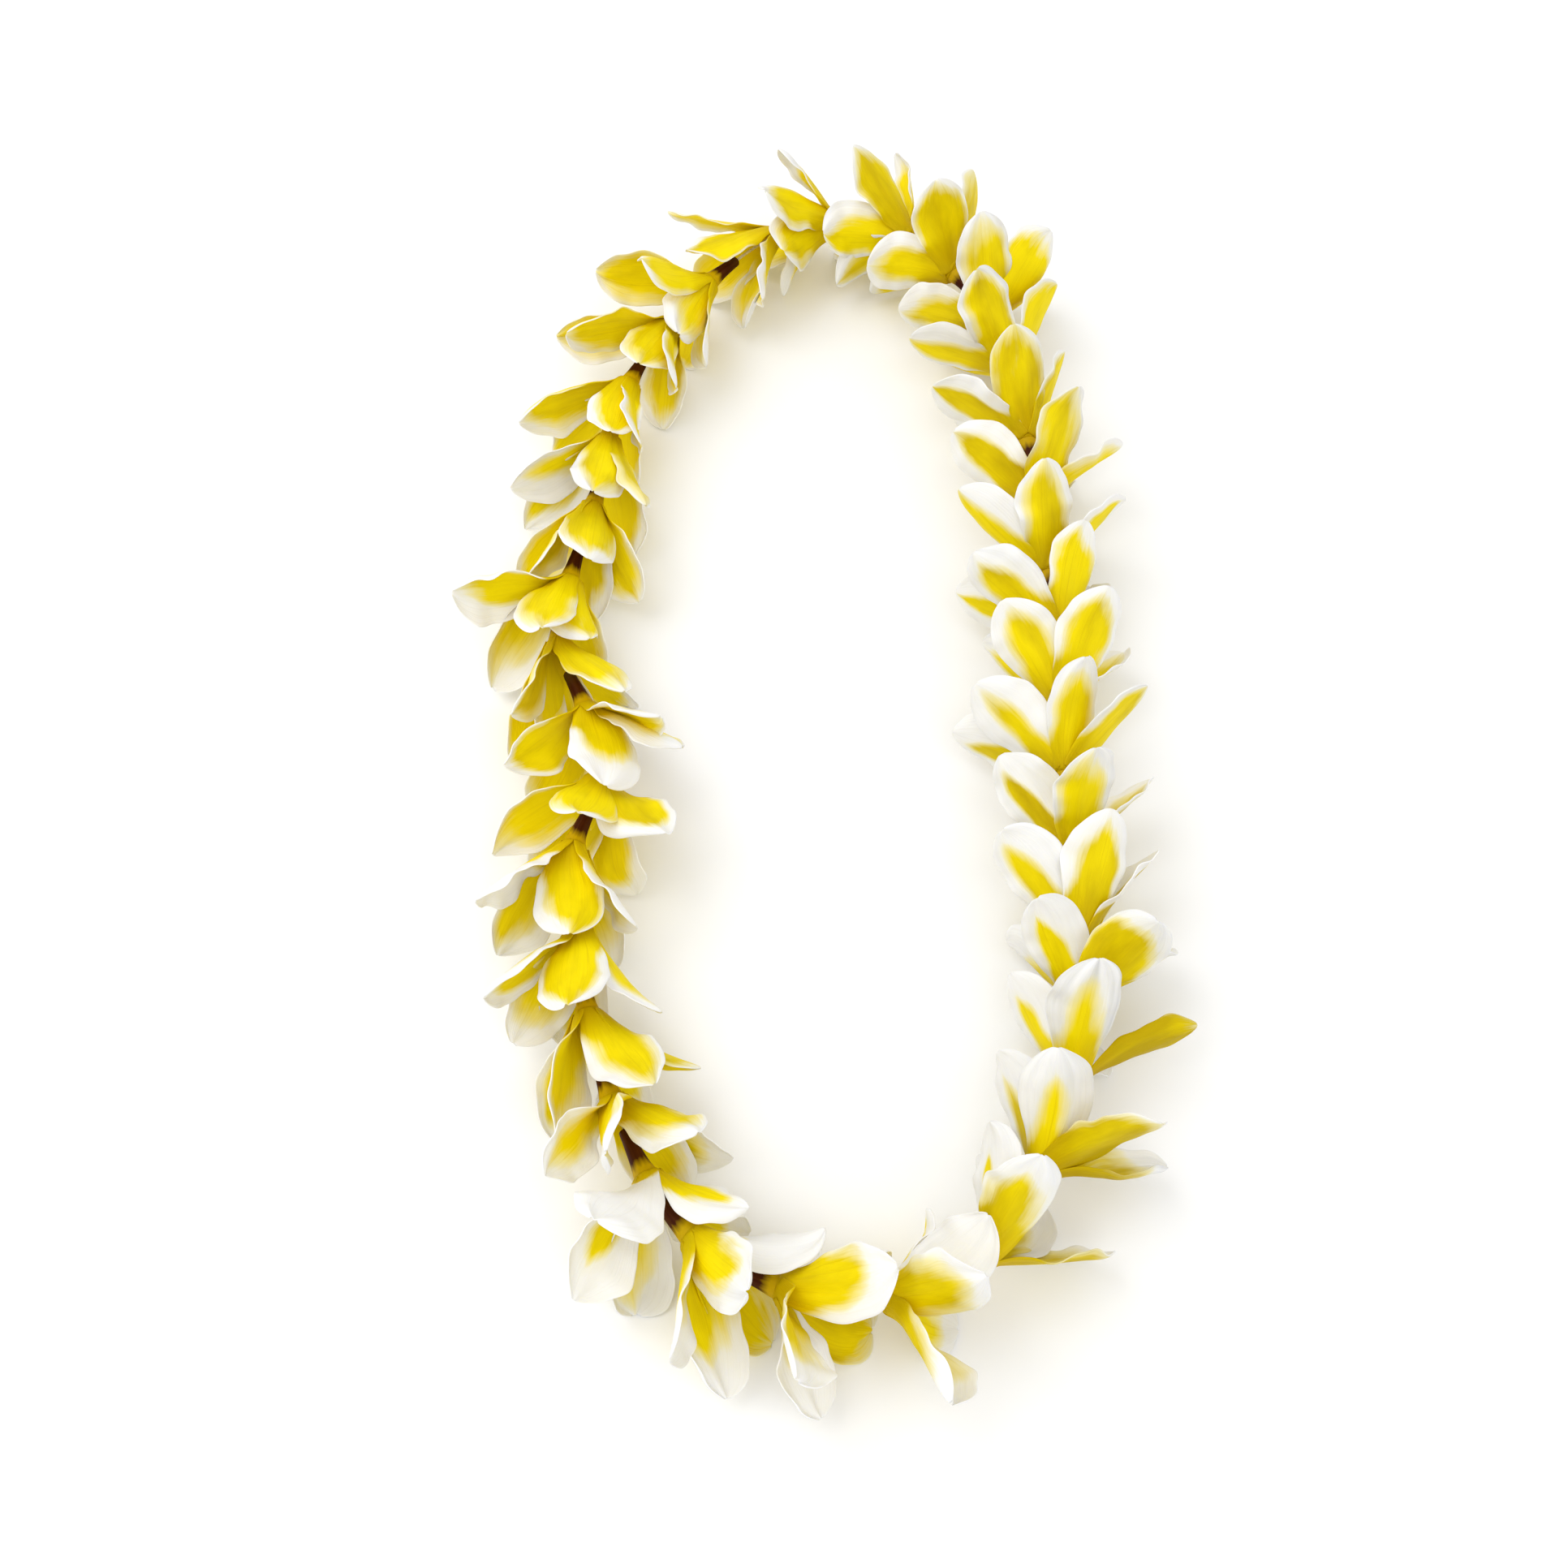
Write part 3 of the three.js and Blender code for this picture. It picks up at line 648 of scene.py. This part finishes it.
# waves in a petal: their height, how many fit along the length or across the half width, how far
# chance moves them, and how far apart the two margins are in them
petalWaves = {
    "margin": {"height": 0.85, "uneven": 0.6, "along": 2.1, "apart": 0.35,
               "fineAlong": 4.7, "fineShare": 0.45, "finePhase": 3,
               "fullness": 0.7, "tipClose": 1.02, "rootShare": 0.5},     # how they rise and fall
    "outline": {"depth": [(1, 0.025), (3, 0.008), (16, 0.01), (18, 0.03), (35, 0.03)],   # by bloom
                "along": 3.3, "phase": 2, "apart": 0.4},
    "roll": {"share": 0.25, "along": 5, "phase": 3},                     # in the roll of a margin
    "pleat": {"height": 0.22, "across": 1.7, "middle": 0.3, "reach": 0.2},   # fans out of the throat
    "frill": {"height": [(1, 1.4), (3, 0.9), (16, 1.1), (18, 2.0), (35, 2.0)],           # by bloom
              "uneven": 0.7, "across": 0.9, "phase": 2, "share": 0.45},  # runs across the tip
    "crease": {"height": 0.4, "across": 0.95, "uneven": 0.3, "ends": 3},     # runs along the blade
}

tubeForm = {
    "length": 18, "sides": 14, "rows": 12,
    "outside": [(-18, 2.1), (-15, 2.2), (-11, 2.5), (-7, 2.9), (-4, 3.5), (-1.5, 4.2), (0, 4.6)],
    "ribs": 5, "ribDepth": 0.05,     # soft ribs, and their depth against the radius
}

# low petals bend to lie this far above the surface, softly, and a few blooms rest on it
surfaceForm = {
    "clearance": 0.9, "restDip": 0.22, "softness": 2.2,
    "resting": [3, 8, 13, 19, 25, 30, 34],
}

# where a petal is yellow: pairs are for the right strand and for the rest
yellowForm = {
    "reach": [(1, 0.72), (3, 0.7), (5, 0.8), (8, 0.88), (11, 0.93), (15, 0.97), (20, 0.96),
              (24, 0.92), (28, 0.86), (32, 0.8), (35, 0.78)],         # by bloom: share of the length
    "spread": [(1, 0.42), (3, 0.36), (5, 0.45), (8, 0.52), (11, 0.6), (15, 0.8), (20, 0.75),
               (24, 0.74), (28, 0.68), (32, 0.62), (35, 0.6)],        # by bloom: share of the half width
    "unevenReach": 0.08, "unevenSpread": (0.12, 0.2),
    "inner": 0.6, "innerTurn": 135,      # share of the spread left on petals that point into the loop
    "shift": 0.32,                       # how far the yellow stands to one side
    "shiftRange": (0.6, 0.7),            # usual share of that, and how far chance changes it
    "soft": 0.52, "unevenSoft": 0.2,     # softness of its edge
    "special": {             # (bloom, petal): reach and spread of single petals
        (1, 0): (0.75, 0.6), (1, 1): (0.85, 1.3), (2, 0): (0.68, 0.28), (2, 1): (0.97, 0.95),
        (2, 2): (0.72, 1.2), (3, 0): (0.8, 0.36), (3, 1): (1.1, 1.5), (4, 0): (0.78, 0.26),
        (4, 1): (0.82, 0.78), (10, 0): (0.97, 0.56), (11, 0): (1.02, 0.75), (12, 0): (1.0, 0.86),
        (17, 0): (0.86, 0.72), (17, 1): (0.7, 0.8), (22, 1): (0.8, 0.4), (22, 2): (0.85, 0.5),
        (23, 0): (0.88, 0.86), (24, 0): (0.96, 0.8), (24, 1): (0.9, 0.5), (26, 0): (0.7, 0.6),
        (27, 0): (0.97, 1.1), (28, 0): (1.05, 0.62), (28, 1): (0.5, 0.4), (29, 0): (1.05, 0.62),
        (30, 0): (0.95, 0.6), (30, 2): (1.05, 1.2), (32, 0): (0.1, 0.1), (32, 1): (0.7, 0.3),
        (32, 2): (0.9, 0.4), (32, 3): (0.8, 0.4), (33, 3): (1.1, 1.4), (33, 4): (0.3, 0.2),
        (34, 2): (0.5, 0.3), (34, 3): (1.1, 1.4), (35, 2): (0.3, 0.2),
    },
    "gold": (0.3, 0.06), "unevenGold": 0.3,      # share of the darker gold in the yellow, partly uneven tone and partly painted shade on petals that turn from the light
    "foldShade": (0.2, 0), "unevenFoldShade": 0.4,         # share of the painted shade of grey folds in the white
    "toneAndShade": {                 # (bloom, petal): gold and grey of single petals, the gold partly painted shade and the grey painted shade in folds
        (1, 1): (0.7, 0.3), (2, 0): (0, 0.5), (2, 1): (0.8, 0.4), (2, 2): (0.9, 0.9), (3, 0): (0.1, 1),
        (3, 1): (1, 0), (4, 0): (0, 0.3), (4, 1): (0.4, 0.5), (5, 0): (0.3, 0.3), (11, 0): (0.3, 0.6),
        (12, 0): (0.5, 0.6), (13, 0): (0.4, 0.8), (14, 0): (0.3, 0.5),
    },
    "round": (1.6, 0.4), "pointed": (1.15, 0.15),    # power of the outline's end, and its chance
    "blunt": {(2, 1): 2, (2, 2): 2, (3, 1): 2, (4, 1): 2.4},     # that power on single petals
}


def between(table, place):
    for (x0, y0), (x1, y1) in zip(table, table[1:]):
        if place <= x1:
            share = (place - x0) / (x1 - x0)
            return y0 + (y1 - y0) * share
    return table[-1][1]


# runs from 0 to 1 over the last share of the length
def lastPart(u, share):
    return max(0, (u - (1 - share)) / share)


def petalSpine(opening, length, bend, curl):
    steps = petalForm["spineSteps"]
    spine = []
    along, away = -petalForm["rootSink"], petalForm["rootRadius"]
    for i in range(steps + 1):
        u = i / steps
        rooted = max(0, 1 - u / petalForm["rootBend"]) ** 2
        free = opening + bend * (u - 0.5) + curl * lastPart(u, petalForm["curlShare"]) ** 2
        angle = math.radians(free + (petalForm["rootAngle"] - free) * rooted)
        spine.append((along, away, angle))
        along += length / steps * math.cos(angle)
        away += length / steps * math.sin(angle)

    def at(u):
        place = min(max(u, 0), 1) * steps
        i = min(int(place), steps - 1)
        return [a + (b - a) * (place - i) for a, b in zip(spine[i], spine[i + 1])]
    return at


# width and rise of a point on a blade whose margin rolls by an angle in radians
def rolledMargin(half, v, angle):
    start = petalForm["rollStart"]
    if abs(v) <= start or half < petalForm["narrowest"] or abs(angle) < petalForm["flattest"]:
        return half * v, 0
    radius = (1 - start) * half / angle
    run = (abs(v) - start) * half / radius
    return math.copysign(start * half + radius * math.sin(run), v), radius * (1 - math.cos(run))


def marginRolls(petal, chance):
    usual = petalForm["flatRoll" if petal[0] in rightBlooms else "roll"]
    share, change = petalForm["rollRange"]
    rolls = [usual * (share + change * k) if k < petalForm["foldedFrom"] else petalForm["foldedRoll"]
             for k in (chance["firstRoll"], chance["secondRoll"])]
    return petalForm["margins"].get(petal, rolls)


# heights of the waves at a point of a petal, one after the other
def waveHeights(petal, chance, u, v, side, outline):
    margin, pleat, frill, crease = (petalWaves[name] for name in ("margin", "pleat", "frill", "crease"))
    phase = chance["phase"] + margin["apart"] * side
    fine = margin["fineAlong"] * u + margin["finePhase"] * chance["wave"] + phase
    wave = (math.sin(fullTurn * (margin["along"] * u + phase))
            + margin["fineShare"] * math.sin(fullTurn * fine))
    swell = math.sin(math.pi * min(1, margin["tipClose"] * u)) ** margin["fullness"]
    swell *= margin["rootShare"] + u
    yield margin["height"] * (1 + margin["uneven"] * chance["ripple"]) * wave * v * v * swell

    fan = math.exp(-((u - pleat["middle"]) / pleat["reach"]) ** 2)
    yield pleat["height"] * fan * math.cos(fullTurn * (pleat["across"] * v + chance["pleat"]))

    tipped = lastPart(u, frill["share"]) ** 2 * outline
    height = between(frill["height"], petal[0]) * (1 + frill["uneven"] * chance["frill"])
    yield height * tipped * math.cos(fullTurn * (frill["across"] * v + frill["phase"] * chance["wave"]))

    folds = (crease["across"] + crease["uneven"] * chance["frill"]) * v + chance["wave"]
    yield crease["height"] * math.cos(fullTurn * folds) * min(1, crease["ends"] * u * (1 - u))


# the surface of a petal, by a place u along it from 0 to 1 and v across it from -1 to 1
def petalPoint(petal):
    form, uneven, chance = petalForm, petalForm["uneven"], petalChance(petal)
    given = bloomTable[petal[0] - 1][1][petal[1]]
    turn, opening, roll, long, wide = given + usualPetal[len(given) - 2:]
    long *= form["trim"].get(petal, 1)
    wide *= form["swell"].get(petal, between(form["broad"], petal[0]))
    spine = petalSpine(opening, form["length"] * long * (1 + uneven["length"] * chance["length"]),
                       form["recurve"] + uneven["recurve"] * chance["recurve"],
                       form["tipCurl"] * chance["curl"])
    halfWidth = form["width"] / 2 * wide * (1 + uneven["width"] * chance["width"])
    hollow = form["cup"] * (1 + uneven["cup"] * chance["cup"])
    twist = math.radians(roll + uneven["twist"] * chance["twist"])
    phi = math.radians(turn)
    rolls = marginRolls(petal, chance)
    share, change = form["pointRange"]
    point = between(form["point"], petal[0]) * (share + change * chance["point"])
    edge, curling = petalWaves["outline"], petalWaves["roll"]
    ragged = between(edge["depth"], petal[0])

    def at(u, v):
        along, away, angle = spine(u)
        side = int(v > 0)
        outline = between(form["outline"], u)
        narrowed = 1 - point * lastPart(u, form["pointShare"]) ** 2
        notch = edge["along"] * u + edge["phase"] * chance["wave"] + edge["apart"] * side
        notched = 1 + ragged * math.sin(fullTurn * notch)
        half = halfWidth * outline * narrowed * notched * (1 + uneven["sides"] * chance["sides"] * v)
        grown = min(1, form["growth"] * u)
        curl = math.sin(curling["along"] * u + curling["phase"] * chance["lean"])
        rolling = math.radians(rolls[side]) * grown * (1 - curling["share"] + curling["share"] * curl)
        across, rise = rolledMargin(half, v, rolling)
        rise += hollow * half * (v * v - form["cupLevel"]) * grown
        rise += across * across / 2 / form["wrap"] * max(0, 1 - u / form["wrapEnd"])
        for height in waveHeights(petal, chance, u, v, side, outline):
            rise += height
        across += form["sweep"] * chance["lean"] * u * u
        tilt = twist * min(1, form["twistGrowth"] * u)
        aside = across * math.cos(tilt) - rise * math.sin(tilt)
        face = across * math.sin(tilt) + rise * math.cos(tilt)
        reach = away - face * math.cos(angle)
        return ((reach * math.cos(phi) - aside * math.sin(phi)) * mm,
                (along + face * math.sin(angle)) * mm,
                (reach * math.sin(phi) + aside * math.cos(phi)) * mm)
    return at


# one mesh in the making, with its faces' corners in five maps: petalMap is the place across and along,
# petalTint the yellow's reach and spread, or a tube's own number and its green, petalTouch the yellow's
# shift and softness, the fourth map the gold, which is partly uneven tone and partly painted shade, and the
# grey of painted shade in folds, and petalShape the bluntness of the yellow
class Sheet:
    def __init__(self):
        self.points, self.faces, self.slots = [], [], []
        self.maps = {name: [] for name in ("petalMap", "petalTint", "petalTouch", "petalAge", "petalShape")}


def addGrid(sheet, rows, columns, closed, point, looks, slot):
    first = len(sheet.points)
    wide = columns if closed else columns + 1
    for i in range(rows + 1):
        for j in range(wide):
            sheet.points.append(point(i / rows, j / columns))
    for i in range(rows):
        for j in range(columns):
            a = first + i * wide + j
            b = first + i * wide + (j + 1) % wide
            sheet.faces.append((a, b, b + wide, a + wide))
            left, right, low, high = j / columns, (j + 1) / columns, i / rows, (i + 1) / rows
            sheet.maps["petalMap"] += [left, low, right, low, right, high, left, high]
            for name, look in looks.items():
                sheet.maps[name] += look * 4
            sheet.slots.append(slot)


def petalLook(petal):
    form, chance, number = yellowForm, petalChance(petal), petal[0]
    left = number in leftBlooms
    reach = between(form["reach"], number) + form["unevenReach"] * chance["reach"]
    spread = between(form["spread"], number) + form["unevenSpread"][left] * chance["spread"]
    turn = bloomTable[number - 1][1][petal[1]][0]
    if number in rightBlooms and abs(turn) > form["innerTurn"]:
        spread *= form["inner"]
    share, change = form["shiftRange"]
    shift = form["shift"] * (share + change * chance["shift"])
    soft = form["soft"] + form["unevenSoft"] * chance["soft"]
    # the gold is partly uneven tone and partly painted shade, and the grey is painted shade in folds
    gold = form["gold"][left] + form["unevenGold"] * chance["gold"]
    foldShade = max(0, form["foldShade"][left] + form["unevenFoldShade"] * chance["foldShade"])
    power, change = form["pointed" if number in pointedBlooms else "round"]
    blunt = form["blunt"].get(petal, power + change * chance["blunt"])
    return {"petalTint": form["special"].get(petal, (reach, spread)), "petalTouch": (shift, soft),
            "petalAge": form["toneAndShade"].get(petal, (gold, foldShade)), "petalShape": (blunt, 0)}


def addPetal(sheet, petal):
    at = petalPoint(petal)
    arc = petalForm["columnArc"]

    def point(u, w):
        even = u + petalForm["rowShift"] * math.sin(math.pi * u) * math.sin(math.pi * u)
        v = math.sin((w - 0.5) * math.pi * arc) / math.sin(arc / 2 * math.pi)
        return at(even, v)
    addGrid(sheet, petalForm["rows"], petalForm["columns"], False, point, petalLook(petal), 0)


def addTube(sheet, number):
    def point(u, w):
        along = -tubeForm["length"] * (1 - u)
        angle = fullTurn * w
        radius = between(tubeForm["outside"], along) - petalForm["thickness"] / 2
        radius *= 1 + tubeForm["ribDepth"] * math.cos(tubeForm["ribs"] * angle + number)
        return radius * math.cos(angle) * mm, along * mm, radius * math.sin(angle) * mm
    tint = (vary((number, 0), "tubeTint"), max(0, vary((number, 0), "tubeGreen")))
    looks = {"petalTint": tint, "petalTouch": (0, 0), "petalAge": (0, 0), "petalShape": (1, 0)}
    addGrid(sheet, tubeForm["rows"], tubeForm["sides"], True, point, looks, 1)


def smoothFaces(mesh):
    mesh.polygons.foreach_set("use_smooth", [True] * len(mesh.polygons))


def meshFrom(sheet, name):
    mesh = bpy.data.meshes.new(name)
    mesh.from_pydata(sheet.points, [], sheet.faces)
    for label, corners in sheet.maps.items():
        mesh.uv_layers.new(name=label).data.foreach_set("uv", corners)
    mesh.materials.append(petalMaterial)
    mesh.materials.append(tubeMaterial)
    mesh.polygons.foreach_set("material_index", sheet.slots)
    smoothFaces(mesh)
    mesh.update()
    return mesh


def plainMesh(maker, name):
    result = bpy.data.meshes.new_from_object(maker.evaluated_get(bpy.context.evaluated_depsgraph_get()))
    result.name = name
    bpy.data.objects.remove(maker)
    return addObject(name, result)


def makeBloom(number, throat):
    sheet = Sheet()
    for petal in range(len(bloomTable[number - 1][1])):
        addPetal(sheet, (number, petal))
    addTube(sheet, number)
    maker = addObject("maker", meshFrom(sheet, "straight"))
    bend = maker.modifiers.new("bend", "NODES")
    bend.node_group = bendTree
    rests = number in surfaceForm["resting"]
    setInputs(bend, {"String": stringPath, "Throat": throat * mm, "Loop length": loopLength,
                     "Lowest": surfaceForm["restDip" if rests else "clearance"] * mm,
                     "Softness": surfaceForm["softness"] * mm})
    wall = maker.modifiers.new("wall", "SOLIDIFY")
    wall.thickness = petalForm["thickness"] * mm
    wall.offset = 0
    finer = maker.modifiers.new("finer", "SUBSURF")
    finer.levels = 1
    finer.render_levels = 1
    bloom = plainMesh(maker, f"fine_bloom_{number:02d}")
    smoothFaces(bloom.data)
    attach(bloom, "root")
    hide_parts(f"bloom_{number:02d}")


def throatPlaces():
    stretch = loopLength / mm / sum(gap for gap, petals in bloomTable)
    places = [loop["firstThroat"]]
    for gap, petals in bloomTable[:-1]:
        places.append(places[-1] + gap * stretch)
    return places


throats = throatPlaces()
for number, throat in enumerate(throats, 1):
    makeBloom(number, throat)
print("blooms are threaded:", len(throats))


# the string with its knot

threadForm = {
    "radius": 0.6, "plies": 3, "pitch": 5,
    "plyRadius": 0.52, "layRadius": 0.48,    # of the thread's radius: each ply, and the circle it winds on
    "sides": 6, "pointsPerTurn": 6,
    "knotBehindTube": 5, "knotRadius": 1.25, "knotThread": 0.55, "knotPitch": 3, "knotSteps": 90,
    "knotRounds": 2, "knotWinds": 1.5,       # an overhand knot goes round twice and winds three times
    "tailLength": 6, "tailLean": 62, "tailRise": 0.9, "tailDroop": 0.035, "tailSteps": 8,
    "tailThread": 0.9,                       # thickness against that of the knot
}


def pointOnLoop(distance):
    left = (distance * mm) % loopLength
    for a, b in zip(loopPoints, loopPoints[1:] + loopPoints[:1]):
        size = (b - a).length
        if left <= size:
            return a.lerp(b, left / size), (b - a).normalized()
        left -= size
    return loopPoints[0], (loopPoints[1] - loopPoints[0]).normalized()


def knotPaths():
    form = threadForm
    middle, along = pointOnLoop(throats[0] - tubeForm["length"] - form["knotBehindTube"])
    up = Vector((0, 0, 1))
    outward = along.cross(up)
    knot = []
    for i in range(form["knotSteps"]):
        turn = fullTurn * form["knotRounds"] * i / form["knotSteps"]
        radius = form["knotRadius"] * (2 + math.cos(form["knotWinds"] * turn)) / 2
        lift = form["knotRadius"] * math.sin(form["knotWinds"] * turn) / 2
        offset = outward * radius * math.cos(turn) + up * radius * math.sin(turn) + along * lift
        knot.append(middle + offset * mm)
    lean = math.radians(form["tailLean"])
    runs = [k * form["tailLength"] / form["tailSteps"] for k in range(form["tailSteps"] + 1)]
    tails = []
    for side in (-1, 1):
        way = up * math.cos(lean) * form["tailRise"] + outward * side * math.sin(lean)
        tails.append([middle + (way * t + Vector((0, 0, -form["tailDroop"] * t * t))) * mm for t in runs])
    return knot, tails


def makeThread(name, points, closed, radius, pitch):
    path = makePath(name + "_path", points, closed)
    ends = zip(points, points[1:] + (points[:1] if closed else []))
    length = sum((b - a).length for a, b in ends)
    turns = max(1, round(length / (pitch * mm)))
    maker = addObject("maker", bpy.data.meshes.new("empty"))
    twist = maker.modifiers.new("twist", "NODES")
    twist.node_group = threadTree
    setInputs(twist, {"Path": path, "Plies": threadForm["plies"], "Turns": float(turns),
                      "Points": turns * threadForm["pointsPerTurn"], "Sides": threadForm["sides"],
                      "Ply radius": radius * threadForm["plyRadius"] * mm,
                      "Lay radius": radius * threadForm["layRadius"] * mm,
                      "Material": threadMaterial})
    piece = plainMesh(maker, name)
    bpy.data.objects.remove(path)
    return piece


def joinPieces(pieces, name):
    bpy.ops.object.select_all(action="DESELECT")
    for piece in pieces:
        piece.select_set(True)
    bpy.context.view_layer.objects.active = pieces[0]
    bpy.ops.object.join()
    pieces[0].name = name
    return pieces[0]


knot, tails = knotPaths()
knotThread, knotPitch = threadForm["knotThread"], threadForm["knotPitch"]
strands = [makeThread("cotton_string", loopPoints, True, threadForm["radius"], threadForm["pitch"]),
           makeThread("knot", knot, True, knotThread, knotPitch)]
for tail in tails:
    strands.append(makeThread("tail", tail, False, knotThread * threadForm["tailThread"], knotPitch))
string = joinPieces(strands, "cotton_string")
smoothFaces(string.data)
bpy.data.objects.remove(stringPath)
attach(string, "root")
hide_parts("string")
print("string is tied")


# floor

floorForm = {
    "halfSize": 4,
    "dark": (0.95, 0.955, 0.965), "light": (0.97, 0.975, 0.985), "roughness": 0.9, "specular": 0.1,
    "streaks": (3, 3, 1),
}


def makeFloor():
    size = floorForm["halfSize"]
    corners = [(-size, -size, 0), (size, -size, 0), (size, size, 0), (-size, size, 0)]
    mesh = bpy.data.meshes.new("floor")
    mesh.from_pydata(corners, [], [(0, 1, 2, 3)])
    mesh.materials.append(makeStreakedMaterial("floor", floorForm))
    floor = addObject("floor", mesh)


makeFloor()
print("floor is laid")
